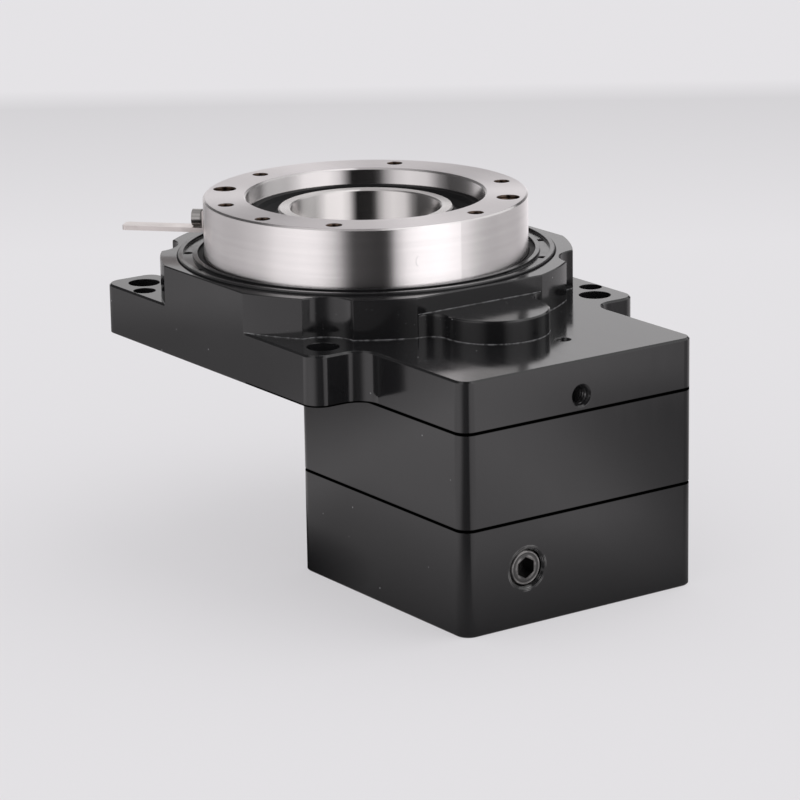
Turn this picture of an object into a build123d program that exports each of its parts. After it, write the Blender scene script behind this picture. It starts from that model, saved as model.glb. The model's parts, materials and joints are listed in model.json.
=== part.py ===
from build123d import *
import os
from math import acos, cos, pi, radians, sin, sqrt, tan

# Hollow rotary platform, 85 mm frame, 5:1 spur reduction.
# The origin is on the turntable's axis at the housing's mounting face.  +Z is up,
# +X points from the turntable to the motor block that hangs under the extension.

# ------------------------------------------------------------ driving dimensions (mm)
# Housing plate, its four ears and the extension over the motor block
frame_length = 84.5
frame_width = 85.0
plate_height = 11.0
ear_hole_margin_x = 6.55
ear_hole_margin_y = 6.8
ear_hole_diameter = 7.0
ear_width = 13.4
ear_corner_share = 0.32
ear_inner_radius = 3.0
dowel_hole_diameter = 5.0
dowel_hole_step = 6.4
dowel_hole_margin_y = 3.0
extension_fillet_share = 0.4
edge_break = 0.3
plate_chamfer = 0.4
disc_chamfer = 0.2

# Raised disc that holds the main bearing
disc_height = 8.7
disc_overhang = 3.05
scallop_radius = 7.7

# Gear pair: the pinion drives the ring gear under the turntable
pinion_teeth = 15
gear_teeth = 75
centre_distance = 47.1
pressure_angle = 20.0
profile_shift = 0.2
backlash = 0.12
gear_height = 5.4
gear_gap = 0.4
gear_chamber_gap = 0.5
pinion_overlap = 0.2

# Main crossed-roller bearing
bearing_bore = 62.0
bearing_outside = 82.8
bearing_height = 9.0
roller_diameter = 4.5
roller_length = 4.3
roller_pitch_radius = 35.5
roller_count = 36
raceway_gap = 1.2
roller_clearance = 0.05

# Bearing lock ring with its face-spanner holes, and the wiper seal inside it
lock_ring_height = 3.0
lock_ring_bore = 74.2
lock_ring_lip_height = 0.6
lock_ring_inner_lip = 1.0
lock_ring_outer_lip = 0.9
lock_ring_chamfer = 0.15
spanner_hole_count = 15
spanner_hole_diameter = 2.0
spanner_hole_depth = 1.5
spanner_hole_start = 18.4
thread_relief = 0.3
wiper_height = 1.8
wiper_sink = 0.6
wiper_gap = 0.15

# Turntable
table_diameter = 71.2
table_rise = 15.4
table_chamfer = 0.4
table_recess_diameter = 52.5
table_recess_depth = 3.6
table_land_width = 3.4
table_bolt_circle_diameter = 63.4
table_bolt_count = 6
table_bolt_drill = 3.3
table_bolt_depth = 9.0
table_bolt_start = 13.4
table_dowel_diameter = 5.0
table_dowel_depth = 4.5
table_dowel_start = 43.4
table_mark_radius = 32.5
table_mark_angle = -76.9
table_mark_diameter = 3.3
table_mark_depth = 7.0
countersink_width = 0.15

# Shaft seal between the turntable and the fixed sleeve
seal_diameter = 52.0
seal_height = 6.5
seal_lip_gap = 0.15
seal_case_width = 1.8
seal_step = 0.8

# Fixed sleeve that lines the hollow bore
hollow_diameter = 33.0
sleeve_wall = 2.7
sleeve_sink = 2.85
sleeve_flange_width = 4.4
sleeve_flange_height = 2.0
sleeve_screw_count = 6

# Housing inside
floor_thickness = 2.4
hub_lip = 0.5
hub_gap = 0.5

# Screws that hold the ring gear, and its two dowel pins
gear_screw_count = 8
gear_screw_circle_diameter = 55.6
gear_screw_length = 9.0
gear_pin_diameter = 3.0
gear_pin_length = 8.0
gear_pin_angle = 22.5

# Motor block: an upper adapter block over a lower motor flange block
block_width = 60.0
block_corner_radius = 3.0
upper_block_height = 20.45
lower_block_height = 22.7
seam_chamfer = 0.3
block_seat_depth = 0.1
block_seat_margin = 0.3
housing_spigot_diameter = 30.0
housing_spigot_height = 1.2
motor_pilot_diameter = 50.0
motor_pilot_depth = 3.5
motor_bolt_circle_diameter = 70.0
motor_bolt_drill = 4.2
motor_bolt_depth = 12.0
motor_shaft_diameter = 14.0
motor_shaft_depth = 22.0
corner_screw_margin = 4.8
corner_screw_seat = 8.0
corner_screw_length = 14.0
floor_screw_x = 24.6
floor_screw_y = 22.0
floor_screw_length = 10.0
flange_screw_x = 14.0
flange_screw_margin = 3.8
flange_screw_length = 25.0
sleeve_screw_length = 5.0

# Boss over the pinion's upper bearing
boss_radius = 11.8
boss_height = 5.0
boss_fillet = 4.2

# Pinion bearings
upper_bearing_bore = 5.0
upper_bearing_outside = 9.0
upper_bearing_height = 3.0
upper_ball_diameter = 1.4
upper_ball_count = 8
lower_bearing_bore = 20.0
lower_bearing_outside = 32.0
lower_bearing_height = 7.0
lower_ball_diameter = 3.6
lower_ball_count = 10
lower_bearing_depth = 3.0
ball_clearance = 0.05
race_gap_share = 0.3125
boss_roof = 1.25
circlip_thickness = 1.2
circlip_width = 2.6
circlip_groove = 0.8
circlip_opening = 9.0

# Pinion shaft, its seal and its clamp hub
pinion_seal_journal = 18.8
pinion_seal_diameter = 27.0
pinion_seal_height = 3.4
pinion_step = 0.7
pinion_shoulder = 6.4
clamp_diameter = 37.0
clamp_gap = 0.8
clamp_side_gap = 2.0
clamp_slit = 1.6
clamp_screw_inset = 4.35
clamp_screw_drop = 30.9
clamp_screw_seat = 4.5
clamp_screw_length = 12.0
clamp_relief_height = 7.0
clamp_relief_slit = 1.2
clamp_neck_diameter = 24.0

# Access plug in the lower block, in line with the clamp screw
plug_diameter = 8.0
plug_length = 6.0
plug_sink = 0.5
plug_socket = 4.0
plug_socket_depth = 3.6
plug_mouth_chamfer = 0.5

# Threaded port in the extension's end face, and the small hole in its top
port_drill = 4.2
port_mouth = 5.0
port_depth = 10.0
port_height = 3.4
top_hole_x = 61.8
top_hole_y = 7.0
top_hole_drill = 3.0
top_hole_mouth = 3.4
top_hole_depth = 7.0

# Home-sensor dog on the turntable's side
dog_angle = -136.6
dog_thickness = 1.0
dog_width = 4.0
dog_reach = 19.4
dog_bottom = 23.05
dog_leg_height = 4.7
dog_tip_radius = 0.8
dog_screw_height = 26.0
dog_screw_length = 4.0
dog_washer_diameter = 3.8
dog_washer_thickness = 0.5

# Clearances between pieces that fit together
seat_gap = 0.01
fit_gap = 0.05
running_gap = 0.4
head_sink = 0.2

# Cap screws: thread, head diameter, head height, socket across flats
m2_cap = (2.0, 3.8, 2.0, 1.5)
m3_cap = (3.0, 5.5, 3.0, 2.5)
m4_cap = (4.0, 7.0, 4.0, 3.0)
# Countersunk screws: thread, head diameter, head height, socket across flats
m2_flat = (2.0, 3.6, 1.1, 1.3)
m4_flat = (4.0, 7.5, 2.0, 2.5)

# ------------------------------------------------------------ levels and derived sizes
module = 2 * centre_distance / (pinion_teeth + gear_teeth)
disc_top = plate_height + disc_height
gear_bottom = floor_thickness + gear_gap
gear_top = gear_bottom + gear_height
bearing_bottom = gear_top
bearing_top = bearing_bottom + bearing_height
bearing_middle = (bearing_bottom + bearing_top) / 2
table_top = bearing_top + table_rise
table_underside = bearing_top + running_gap
recess_floor = table_top - table_recess_depth
sleeve_top = table_top - sleeve_sink
block_seam = -upper_block_height
block_bottom = -upper_block_height - lower_block_height
extension_end = centre_distance + block_width / 2
boss_top = plate_height + boss_height
disc_radius = frame_length / 2 + disc_overhang
ear_hole_x = frame_length / 2 - ear_hole_margin_x
ear_hole_y = frame_width / 2 - ear_hole_margin_y
ear_step = (frame_width - block_width) / 2
dowel_hole_x = ear_hole_x - dowel_hole_step
dowel_hole_y = frame_width / 2 - dowel_hole_margin_y
sleeve_diameter = hollow_diameter + 2 * sleeve_wall
sleeve_flange_diameter = sleeve_diameter + 2 * sleeve_flange_width
hub_diameter = sleeve_flange_diameter + 2 * hub_lip
table_bore = hub_diameter + 2 * hub_gap
block_cavity_diameter = clamp_diameter + 2 * clamp_side_gap
clamp_screw_offset = clamp_diameter / 2 - clamp_screw_inset
corner_screw_offset = block_width / 2 - corner_screw_margin
flange_screw_y = block_width / 2 - flange_screw_margin
spigot_radius = bearing_bore / 2
inner_race_radius = roller_pitch_radius - raceway_gap / 2
outer_race_radius = roller_pitch_radius + raceway_gap / 2
gear_tip_radius = module * (gear_teeth / 2 + 1 - profile_shift)
pinion_tip_radius = module * (pinion_teeth / 2 + 1 + profile_shift)
gear_chamber_radius = gear_tip_radius + gear_chamber_gap
pinion_pocket_radius = pinion_tip_radius + gear_chamber_gap
upper_bearing_top = boss_top - boss_roof - seat_gap
upper_bearing_bottom = upper_bearing_top - upper_bearing_height
lower_bearing_top = -lower_bearing_depth
lower_bearing_bottom = lower_bearing_top - lower_bearing_height
circlip_bottom = lower_bearing_bottom - circlip_thickness
cavity_top = circlip_bottom - clamp_gap
clamp_top = cavity_top - clamp_gap
clamp_bottom = block_bottom + motor_pilot_depth + clamp_gap
clamp_screw_height = -clamp_screw_drop
motor_bolt_offset = motor_bolt_circle_diameter / 2 / sqrt(2)
pinion_axis = Axis((centre_distance, 0, 0), (0, 0, 1))


# ------------------------------------------------------------ shapes used several times
def side_plane(axis_x=0.0):
    """Plane through a vertical axis: local x is the radius and local y is the height."""
    return Plane(origin=(axis_x, 0, 0), x_dir=(1, 0, 0), z_dir=(0, -1, 0))


def turned(outline, axis_x=0.0):
    """Body turned about the vertical axis at axis_x from (radius, height) points."""
    with BuildPart() as body:
        with BuildSketch(side_plane(axis_x)):
            with BuildLine():
                Polyline(*outline, close=True)
            make_face()
        revolve(axis=Axis((axis_x, 0, 0), (0, 0, 1)))
    return body.part


def ring(inner, outer, bottom, top, axis_x=0.0):
    """Plain ring about the vertical axis at axis_x."""
    return turned([(inner, bottom), (outer, bottom), (outer, top), (inner, top)], axis_x)


def ball_race(inner, outer, bottom, top, pitch, ball):
    """Ball bearing ring about the pinion's axis, with its groove cut round the ball circle."""
    middle = (bottom + top) / 2
    with BuildPart() as race:
        with BuildSketch(side_plane(centre_distance)):
            with Locations(((inner + outer) / 2, middle)):
                Rectangle(outer - inner, top - bottom)
            with Locations((pitch, middle)):
                Circle(ball / 2 + ball_clearance, mode=Mode.SUBTRACT)
        revolve(axis=pinion_axis)
    return race.part


def cap_screw(size, length):
    """Socket head cap screw along Z: the head stands on z = 0 and the shank points down."""
    thread, head, head_height, socket = size
    with BuildPart() as screw:
        Cylinder(head / 2, head_height, align=(Align.CENTER, Align.CENTER, Align.MIN))
        Cylinder(thread / 2, length, align=(Align.CENTER, Align.CENTER, Align.MAX))
        with BuildSketch(Plane.XY.offset(head_height)):
            RegularPolygon(socket / 2, 6, major_radius=False)
        extrude(amount=-head_height / 2, mode=Mode.SUBTRACT)
    return screw.part


def flat_screw(size, length):
    """Countersunk screw along Z: the head's top is flush with z = 0, the shank points down."""
    thread, head, head_height, socket = size
    head_radius = head / 2 - fit_gap
    outline = [
        (0, 0),
        (head_radius, 0),
        (thread / 2, -head_height),
        (thread / 2, -length),
        (0, -length),
    ]
    with BuildPart() as screw:
        add(turned(outline))
        with BuildSketch():
            RegularPolygon(socket / 2, 6, major_radius=False)
        extrude(amount=-head_height / 2, mode=Mode.SUBTRACT)
    return screw.part


def screw_hole(size, length):
    """Clearance space of a cap screw, with an open counterbore over its head."""
    thread, head, head_height, _ = size
    bore = thread / 2 + seat_gap
    counterbore = head / 2 + 3 * fit_gap
    mouth = head_height + 2 * head_sink
    outline = [
        (0, mouth),
        (counterbore, mouth),
        (counterbore, 0),
        (bore, 0),
        (bore, -length - fit_gap),
        (0, -length - fit_gap),
    ]
    return turned(outline)


def flat_screw_hole(size, length):
    """Space of a countersunk screw below z = 0."""
    thread, head, head_height, _ = size
    bore = thread / 2 + seat_gap
    outline = [
        (0, 0),
        (head / 2, 0),
        (bore, -head_height - fit_gap),
        (bore, -length - fit_gap),
        (0, -length - fit_gap),
    ]
    return turned(outline)


def tapped_hole(drill, depth, mouth):
    """Blind hole below z = 0 with a countersunk mouth and a drill point."""
    radius = drill / 2
    outline = [
        (0, 0),
        (mouth / 2, 0),
        (radius, -(mouth - drill) / 2),
        (radius, -depth),
        (0, -depth - radius * tan(radians(30))),
    ]
    return turned(outline)


def tooth_half_angle(radius, teeth, shift):
    """Half of the angle that one involute tooth fills at the given radius."""
    pitch_radius = module * teeth / 2
    angle = radians(pressure_angle)
    local = acos(pitch_radius * cos(angle) / radius)
    half_at_pitch = (pi / 2 + 2 * shift * tan(angle)) / teeth
    thinning = backlash / 4 / pitch_radius
    involute_pitch = tan(angle) - angle
    involute_local = tan(local) - local
    return half_at_pitch - thinning + involute_pitch - involute_local


def gear_outline(teeth, shift, first_tooth, steps, centre=(0.0, 0.0)):
    """Closed points of a spur gear with involute flanks, one tooth centred on first_tooth."""
    pitch_radius = module * teeth / 2
    base_radius = pitch_radius * cos(radians(pressure_angle))
    root_radius = pitch_radius - module * (1.25 - shift)
    tip_radius = pitch_radius + module * (1 + shift)
    start = max(root_radius, base_radius + 0.001)
    flank = [start + (tip_radius - start) * i / steps for i in range(steps + 1)]
    side = [(r, tooth_half_angle(r, teeth, shift)) for r in flank]
    if root_radius < start:
        side.insert(0, (root_radius, side[0][1]))
    points = []
    for tooth in range(teeth):
        middle = radians(first_tooth) + 2 * pi * tooth / teeth
        for radius, half in side:
            points.append((radius, middle - half))
        for radius, half in reversed(side):
            points.append((radius, middle + half))
    return [(centre[0] + r * cos(a), centre[1] + r * sin(a)) for r, a in points]


def polar(radius, angle):
    """Point in the XY plane at an angle in degrees."""
    return (radius * cos(radians(angle)), radius * sin(radians(angle)))


def upward(x, y, z):
    """Place of a screw that is driven in from below."""
    return Location((x, y, z), (180, 0, 0))


def endward(x, y, z):
    """Place of a screw or hole whose mouth faces +X."""
    return Location((x, y, z), (0, 90, 0))


def dog_place(radius):
    """Place on the sensor dog's screw axis, facing outwards from the turntable's side."""
    x, y = polar(radius, dog_angle)
    return Plane(origin=(x, y, dog_screw_height), z_dir=(x, y, 0)).location


# ------------------------------------------------------------ screw and hole places
ear_holes = [(x, y) for x in (-ear_hole_x, ear_hole_x) for y in (-ear_hole_y, ear_hole_y)]
dowel_holes = [(dowel_hole_x, dowel_hole_y), (-dowel_hole_x, -dowel_hole_y)]
corner_screws = [
    (centre_distance + corner_screw_offset, corner_screw_offset),
    (centre_distance + corner_screw_offset, -corner_screw_offset),
]
floor_screws = [(floor_screw_x, floor_screw_y), (floor_screw_x, -floor_screw_y)]
flange_screws = [
    (centre_distance + x, y)
    for x in (-flange_screw_x, flange_screw_x)
    for y in (-flange_screw_y, flange_screw_y)
]
motor_bolts = [
    (centre_distance + x, y)
    for x in (-motor_bolt_offset, motor_bolt_offset)
    for y in (-motor_bolt_offset, motor_bolt_offset)
]
sleeve_screw_circle_diameter = (sleeve_diameter + sleeve_flange_diameter) / 2
sleeve_screw_places = [
    polar(sleeve_screw_circle_diameter / 2, 360 / sleeve_screw_count * (i + 0.5))
    for i in range(sleeve_screw_count)
]
gear_pins = [polar(gear_screw_circle_diameter / 2, gear_pin_angle + 180 * i) for i in range(2)]
clamp_screw_place = endward(
    centre_distance + clamp_screw_seat, -clamp_screw_offset, clamp_screw_height
)
flange_screw_seat = block_bottom + m3_cap[2] + head_sink
gear_screw_seat = gear_bottom + m3_cap[2] + head_sink

# ------------------------------------------------------------ housing
notch_end_y = ear_hole_y - ear_width / 2
flat_half = sqrt(disc_radius**2 - (frame_length / 2) ** 2)

with BuildPart() as housing:
    # Plate with four ears: square in front, notched down to the disc between the rear ears
    with BuildSketch():
        Circle(disc_radius)
        Rectangle(frame_length, frame_width, mode=Mode.INTERSECT)
        Rectangle(frame_length / 2, frame_width, align=(Align.MIN, Align.CENTER))
        with Locations((0, notch_end_y)):
            Rectangle(frame_length / 2, frame_width / 2 - notch_end_y, align=(Align.MAX, Align.MIN))
        with Locations((0, -notch_end_y)):
            Rectangle(frame_length / 2, frame_width / 2 - notch_end_y, align=(Align.MAX, Align.MAX))
    extrude(amount=plate_height)
    outer_corners = [
        edge
        for edge in housing.edges().filter_by(Axis.Z)
        if abs(abs(edge.center().X) - frame_length / 2) < seat_gap
        and abs(abs(edge.center().Y) - frame_width / 2) < seat_gap
    ]
    fillet(outer_corners, ear_corner_share * ear_step)
    inner_corners = [
        edge
        for edge in housing.edges().filter_by(Axis.Z)
        if abs(edge.center().X + frame_length / 2) < seat_gap
        and abs(abs(edge.center().Y) - notch_end_y) < seat_gap
    ]
    fillet(inner_corners, ear_inner_radius)
    # Extension over the motor block
    with BuildSketch():
        with Locations((extension_end / 2, 0)):
            Rectangle(extension_end, block_width)
    extrude(amount=plate_height)
    far_corners = housing.edges().filter_by(Axis.Z).group_by(Axis.X)[-1]
    fillet(far_corners, block_corner_radius)
    ear_roots = [
        edge
        for edge in housing.edges().filter_by(Axis.Z)
        if abs(edge.center().X - frame_length / 2) < seat_gap
        and abs(abs(edge.center().Y) - block_width / 2) < seat_gap
    ]
    fillet(ear_roots, extension_fillet_share * ear_step)
    plate_outline = housing.faces().sort_by(Axis.Z)[-1].outer_wire().edges()
    plate_rim = [
        edge
        for edge in plate_outline
        if Vector(edge.center().X, edge.center().Y).length > disc_radius + seat_gap
        or edge.center().X > 0
    ]
    chamfer(plate_rim, plate_chamfer)
    # Raised disc, cut flat at the frame's sides and scalloped round the ear holes
    with BuildSketch(Plane.XY.offset(plate_height - plate_chamfer)):
        Circle(disc_radius)
        Rectangle(frame_length, frame_width, mode=Mode.INTERSECT)
        with Locations(*ear_holes):
            Circle(scallop_radius, mode=Mode.SUBTRACT)
    extrude(amount=disc_height + plate_chamfer)
    disc_rim = housing.faces().sort_by(Axis.Z)[-1].outer_wire().edges()
    chamfer(disc_rim, disc_chamfer)
    # Boss over the pinion, blended into the disc's flat wall
    with BuildPart(mode=Mode.PRIVATE) as boss:
        with BuildSketch(Plane.XY.offset(plate_height)) as boss_face:
            with Locations((frame_length / 2, 0)):
                Rectangle(boss_fillet, 2 * flat_half, align=(Align.MAX, Align.CENTER))
            with Locations((centre_distance, 0)):
                Circle(boss_radius)
            boss_roots = [
                corner
                for corner in boss_face.vertices()
                if abs(corner.X - frame_length / 2) < seat_gap and abs(corner.Y) < boss_radius
            ]
            fillet(boss_roots, boss_fillet)
        extrude(amount=boss_height)
        boss_rim = boss.edges().group_by(Axis.Z)[-1].filter_by(GeomType.CIRCLE)
        chamfer(boss_rim, edge_break)
    add(boss.part)
    # Space for the bearing, the ring gear and the turntable, open at the top
    add(
        turned(
            [
                (hub_diameter / 2, floor_thickness),
                (gear_chamber_radius, floor_thickness),
                (gear_chamber_radius, bearing_bottom),
                (bearing_outside / 2, bearing_bottom),
                (bearing_outside / 2, disc_top - thread_relief),
                (bearing_outside / 2 + thread_relief, disc_top),
                (0, disc_top),
                (0, gear_top - running_gap),
                (hub_diameter / 2, gear_top - running_gap),
            ]
        ),
        mode=Mode.SUBTRACT,
    )
    # Seat of the fixed sleeve
    add(
        turned(
            [
                (0, 0),
                (sleeve_flange_diameter / 2 + fit_gap, 0),
                (sleeve_flange_diameter / 2 + fit_gap, sleeve_flange_height),
                (sleeve_diameter / 2 + seat_gap, sleeve_flange_height),
                (sleeve_diameter / 2 + seat_gap, gear_top),
                (0, gear_top),
            ]
        ),
        mode=Mode.SUBTRACT,
    )
    # Pinion pocket, upper bearing seat and the adapter block's spigot seat
    add(
        turned(
            [
                (0, 0),
                (housing_spigot_diameter / 2 + fit_gap, 0),
                (housing_spigot_diameter / 2 + fit_gap, housing_spigot_height + seat_gap),
                (pinion_pocket_radius, housing_spigot_height + seat_gap),
                (pinion_pocket_radius, bearing_bottom),
                (upper_bearing_outside / 2 + seat_gap, bearing_bottom),
                (upper_bearing_outside / 2 + seat_gap, upper_bearing_top + seat_gap),
                (0, upper_bearing_top + seat_gap),
            ],
            centre_distance,
        ),
        mode=Mode.SUBTRACT,
    )
    # Shallow seat of the motor block, so the housing rests on its mounting face alone
    seat_start = centre_distance - block_width / 2 - block_seat_margin
    with Locations((seat_start, 0, 0)):
        Box(
            extension_end,
            block_width + 2 * block_seat_margin,
            block_seat_depth,
            align=(Align.MIN, Align.CENTER, Align.MIN),
            mode=Mode.SUBTRACT,
        )
    # Mounting holes through the ears
    with Locations(*ear_holes):
        Cylinder(
            ear_hole_diameter / 2,
            disc_top,
            align=(Align.CENTER, Align.CENTER, Align.MIN),
            mode=Mode.SUBTRACT,
        )
    with Locations(*dowel_holes):
        Cylinder(
            dowel_hole_diameter / 2,
            disc_top,
            align=(Align.CENTER, Align.CENTER, Align.MIN),
            mode=Mode.SUBTRACT,
        )
    # Screws from below at the far corners, countersunk screws in the gear chamber's floor
    corner_hole = screw_hole(m4_cap, corner_screw_length)
    for x, y in corner_screws:
        with Locations(upward(x, y, -corner_screw_seat)):
            add(corner_hole, mode=Mode.SUBTRACT)
    with Locations(*[(x, y, floor_thickness) for x, y in floor_screws]):
        add(flat_screw_hole(m4_flat, floor_screw_length), mode=Mode.SUBTRACT)
    for x, y in sleeve_screw_places:
        with Locations(upward(x, y, block_seat_depth)):
            add(flat_screw_hole(m2_flat, sleeve_screw_length), mode=Mode.SUBTRACT)
    # Threaded port in the end face and the small hole in the extension's top
    with Locations(endward(extension_end, 0, port_height)):
        add(tapped_hole(port_drill, port_depth, port_mouth), mode=Mode.SUBTRACT)
    with Locations((top_hole_x, top_hole_y, plate_height)):
        add(tapped_hole(top_hole_drill, top_hole_depth, top_hole_mouth), mode=Mode.SUBTRACT)
housing.part.label = "housing"

# ------------------------------------------------------------ main bearing and its seals
roller_reach = roller_diameter / sqrt(2) + roller_clearance * sqrt(2)
inner_groove = roller_pitch_radius - roller_reach
outer_groove = roller_pitch_radius + roller_reach
groove_half = roller_reach - raceway_gap / 2
outer_ring_radius = bearing_outside / 2 - seat_gap

with BuildPart() as bearing_inner_ring:
    add(
        turned(
            [
                (spigot_radius, bearing_bottom),
                (inner_race_radius, bearing_bottom),
                (inner_race_radius, bearing_middle - groove_half),
                (inner_groove, bearing_middle),
                (inner_race_radius, bearing_middle + groove_half),
                (inner_race_radius, bearing_top),
                (spigot_radius, bearing_top),
            ]
        )
    )
bearing_inner_ring.part.label = "bearing_inner_ring"

with BuildPart() as bearing_outer_lower:
    add(
        turned(
            [
                (outer_race_radius, bearing_bottom),
                (outer_ring_radius, bearing_bottom),
                (outer_ring_radius, bearing_middle),
                (outer_groove, bearing_middle),
                (outer_race_radius, bearing_middle - groove_half),
            ]
        )
    )
bearing_outer_lower.part.label = "bearing_outer_lower"

with BuildPart() as bearing_outer_upper:
    add(
        turned(
            [
                (outer_groove, bearing_middle),
                (outer_ring_radius, bearing_middle),
                (outer_ring_radius, bearing_top),
                (outer_race_radius, bearing_top),
                (outer_race_radius, bearing_middle + groove_half),
            ]
        )
    )
bearing_outer_upper.part.label = "bearing_outer_upper"

# Rollers lean 45 degrees in and out by turns round the pitch circle
with BuildPart() as bearing_rollers:
    for i in range(roller_count):
        angle = 360 / roller_count * i
        x, y = polar(roller_pitch_radius, angle)
        lean = 45 if i % 2 else -45
        with Locations(Location((x, y, bearing_middle), (0, 0, angle))):
            with Locations(Location((0, 0, 0), (0, lean, 0))):
                Cylinder(roller_diameter / 2, roller_length)
bearing_rollers.part.label = "bearing_rollers"

lock_ring_top = bearing_top + lock_ring_height
lock_ring_outside = bearing_outside / 2 - fit_gap
channel_inner = lock_ring_bore / 2 + lock_ring_inner_lip
channel_outer = lock_ring_outside - lock_ring_chamfer - lock_ring_outer_lip
channel_floor = lock_ring_top - lock_ring_lip_height

with BuildPart() as lock_ring:
    add(
        turned(
            [
                (lock_ring_bore / 2, bearing_top),
                (lock_ring_outside, bearing_top),
                (lock_ring_outside, lock_ring_top - lock_ring_chamfer),
                (lock_ring_outside - lock_ring_chamfer, lock_ring_top),
                (channel_outer, lock_ring_top),
                (channel_outer, channel_floor),
                (channel_inner, channel_floor),
                (channel_inner, lock_ring_top),
                (lock_ring_bore / 2, lock_ring_top),
            ]
        )
    )
    with BuildSketch(Plane.XY.offset(channel_floor)):
        spanner_radius = (channel_inner + channel_outer) / 2
        with PolarLocations(spanner_radius, spanner_hole_count, start_angle=spanner_hole_start):
            Circle(spanner_hole_diameter / 2)
    extrude(amount=-spanner_hole_depth, mode=Mode.SUBTRACT)
lock_ring.part.label = "lock_ring"

wiper_top = lock_ring_top - wiper_sink
wiper_bottom = wiper_top - wiper_height
wiper_outside = lock_ring_bore / 2 - seat_gap
with BuildPart() as wiper_seal:
    add(
        turned(
            [
                (table_diameter / 2 + wiper_gap, wiper_bottom),
                (wiper_outside, wiper_bottom),
                (wiper_outside, wiper_top),
                (table_diameter / 2 + 2 * wiper_gap, wiper_top),
                (table_diameter / 2 + wiper_gap, wiper_top - wiper_gap),
            ]
        )
    )
wiper_seal.part.label = "wiper_seal"

# ------------------------------------------------------------ turntable
seal_seat_radius = seal_diameter / 2
seal_top = recess_floor - seat_gap
seal_bottom = seal_top - seal_height
seal_case_radius = seal_seat_radius - seal_case_width
seal_garter_radius = (seal_case_radius + sleeve_diameter / 2) / 2
seal_back_radius = seal_garter_radius
recess_radius = table_recess_diameter / 2
table_radius = table_diameter / 2
table_land_radius = spigot_radius + table_land_width

with BuildPart() as turntable:
    add(
        turned(
            [
                (table_bore / 2, bearing_bottom),
                (spigot_radius - seat_gap, bearing_bottom),
                (spigot_radius - seat_gap, bearing_top),
                (table_land_radius, bearing_top),
                (table_land_radius, table_underside),
                (table_radius, table_underside),
                (table_radius, table_top - table_chamfer),
                (table_radius - table_chamfer, table_top),
                (recess_radius + table_chamfer, table_top),
                (recess_radius, table_top - table_chamfer),
                (recess_radius, recess_floor),
                (seal_seat_radius, recess_floor),
                (seal_seat_radius, seal_bottom),
                (table_bore / 2, seal_bottom),
            ]
        )
    )
    # Tapped holes, dowel holes and one odd hole in the top face
    bolt_mouth = table_bolt_drill + 2 * countersink_width
    bolt_hole = tapped_hole(table_bolt_drill, table_bolt_depth, bolt_mouth)
    for i in range(table_bolt_count):
        x, y = polar(table_bolt_circle_diameter / 2, table_bolt_start + 360 / table_bolt_count * i)
        with Locations((x, y, table_top)):
            add(bolt_hole, mode=Mode.SUBTRACT)
    dowel_mouth = table_dowel_diameter + countersink_width
    dowel_hole = tapped_hole(table_dowel_diameter, table_dowel_depth, dowel_mouth)
    for i in range(2):
        x, y = polar(table_bolt_circle_diameter / 2, table_dowel_start + 180 * i)
        with Locations((x, y, table_top)):
            add(dowel_hole, mode=Mode.SUBTRACT)
    mark_mouth = table_mark_diameter + countersink_width
    x, y = polar(table_mark_radius, table_mark_angle)
    with Locations((x, y, table_top)):
        add(tapped_hole(table_mark_diameter, table_mark_depth, mark_mouth), mode=Mode.SUBTRACT)
    # Tapped hole for the sensor dog in the side
    with Locations(dog_place(table_radius)):
        add(screw_hole(m2_cap, dog_screw_length), mode=Mode.SUBTRACT)
    # Tapped and reamed holes for the ring gear in the underside
    for i in range(gear_screw_count):
        x, y = polar(gear_screw_circle_diameter / 2, 360 / gear_screw_count * i)
        with Locations(upward(x, y, gear_screw_seat)):
            add(screw_hole(m3_cap, gear_screw_length), mode=Mode.SUBTRACT)
    for x, y in gear_pins:
        with Locations((x, y, bearing_bottom)):
            Cylinder(
                gear_pin_diameter / 2 + seat_gap,
                gear_pin_length,
                mode=Mode.SUBTRACT,
            )
turntable.part.label = "turntable"

with BuildPart() as inner_seal:
    lip_radius = sleeve_diameter / 2 + seal_lip_gap
    add(
        turned(
            [
                (seal_back_radius, seal_bottom),
                (seal_seat_radius - seat_gap, seal_bottom),
                (seal_seat_radius - seat_gap, seal_top),
                (seal_case_radius, seal_top),
                (seal_case_radius - seal_step, seal_top - seal_step),
                (seal_garter_radius, seal_top - 2 * seal_step),
                (lip_radius + seal_step, seal_top - seal_step),
                (lip_radius, seal_top - seal_step),
                (lip_radius, seal_top - 2 * seal_step),
                (lip_radius + 2 * seal_step, seal_bottom + seal_step),
            ]
        )
    )
inner_seal.part.label = "inner_seal"

# ------------------------------------------------------------ ring gear and its fasteners
with BuildPart() as ring_gear:
    with BuildSketch(Plane.XY.offset(gear_bottom)):
        with BuildLine():
            space_at_pinion = 180 / gear_teeth
            gear_points = gear_outline(gear_teeth, -profile_shift, space_at_pinion, 2)
            Polyline(*gear_points, close=True)
        make_face()
        Circle(table_bore / 2, mode=Mode.SUBTRACT)
    extrude(amount=gear_height)
    # Step that keeps the teeth clear of the bearing's outer ring
    outer_cut = gear_tip_radius + gear_chamber_gap
    add(
        ring(table_land_radius, outer_cut, gear_top - running_gap, gear_top),
        mode=Mode.SUBTRACT,
    )
    for i in range(gear_screw_count):
        x, y = polar(gear_screw_circle_diameter / 2, 360 / gear_screw_count * i)
        with Locations(upward(x, y, gear_screw_seat)):
            add(screw_hole(m3_cap, gear_screw_length), mode=Mode.SUBTRACT)
    for x, y in gear_pins:
        with Locations((x, y, gear_bottom + gear_pin_length / 2)):
            Cylinder(
                gear_pin_diameter / 2 + seat_gap,
                gear_pin_length + seat_gap,
                mode=Mode.SUBTRACT,
            )
ring_gear.part.label = "ring_gear"

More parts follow.
